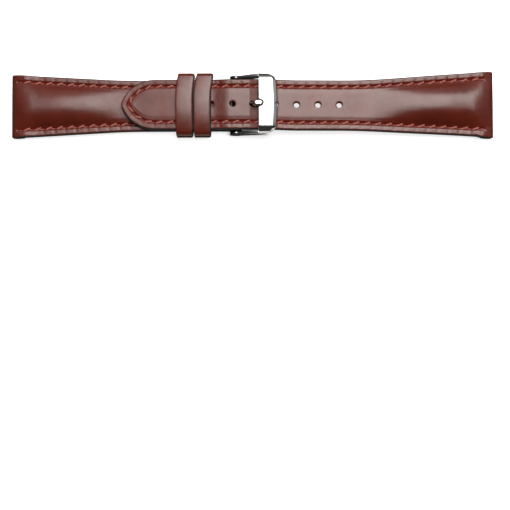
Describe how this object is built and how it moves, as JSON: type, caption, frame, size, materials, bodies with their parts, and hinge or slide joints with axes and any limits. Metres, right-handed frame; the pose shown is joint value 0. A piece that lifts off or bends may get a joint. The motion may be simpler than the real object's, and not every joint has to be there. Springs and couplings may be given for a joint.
{
  "type": "watch strap",
  "caption": "Two-piece padded leather watch strap, tapered and stitched, closed on a steel pin buckle with a fixed and a free keeper.",
  "frame": {"origin": "on the surface that the closed strap lies on, in the middle of its length and width", "axes": "+X from the short piece's lug end to the long piece's lug end, +Y across the strap, +Z out of its face"},
  "size_m": [0.1518, 0.02, 0.0092],
  "materials": {
    "face_leather": "smooth red-brown calf, semi-gloss, dark painted edges",
    "lining_leather": "fine napped brown lining",
    "filler": "pressed fibre filler",
    "thread": "waxed thread, a little lighter than the leather",
    "keeper_leather": "smooth red-brown calf, semi-gloss",
    "polished_steel": "mirror-polished steel",
    "plain_steel": "turned steel"
  },
  "bodies": {
    "strap": {"short_upper": "face_leather", "short_padding": "filler", "short_lining": "lining_leather", "short_thread_left": "thread", "short_thread_right": "thread", "long_upper": "face_leather", "long_padding": "filler", "long_lining": "lining_leather", "long_thread": "thread", "fixed_keeper": "keeper_leather"},
    "keeper": {"free_keeper": "keeper_leather"},
    "buckle": {"buckle_frame": "polished_steel"},
    "tongue": {"buckle_tongue": "polished_steel"},
    "bar": {"bar_barrel": "plain_steel", "bar_spring": "plain_steel"},
    "pin_left": {"bar_pin_left": "plain_steel"},
    "pin_right": {"bar_pin_right": "plain_steel"}
  },
  "joints": [
    {"name": "keeper_slide", "type": "slide", "parent": "strap", "child": "keeper", "axis": [-1, 0, 0], "range_m": [0, 0.015]},
    {"name": "buckle_tilt", "type": "hinge", "parent": "strap", "child": "buckle", "pos_m": [-0.0052, 0, 0.0024], "axis": [0, -1, 0], "range_deg": [0, 5]},
    {"name": "tongue_lift", "type": "hinge", "parent": "buckle", "child": "tongue", "pos_m": [-0.0052, 0, 0.0024], "axis": [0, -1, 0], "range_deg": [0, 3]},
    {"name": "bar_spin", "type": "hinge", "parent": "strap", "child": "bar", "pos_m": [-0.0052, 0, 0.0024], "axis": [0, -1, 0], "continuous": true},
    {"name": "pin_left_press", "type": "slide", "parent": "bar", "child": "pin_left", "axis": [0, -1, 0], "range_m": [0, 0.0009], "stiffness_N_per_m": 300, "springref_m": -0.002, "deforming": ["bar_spring"]},
    {"name": "pin_right_press", "type": "slide", "parent": "bar", "child": "pin_right", "axis": [0, 1, 0], "range_m": [0, 0.0009], "stiffness_N_per_m": 300, "springref_m": -0.002, "deforming": ["bar_spring"]}
  ]
}
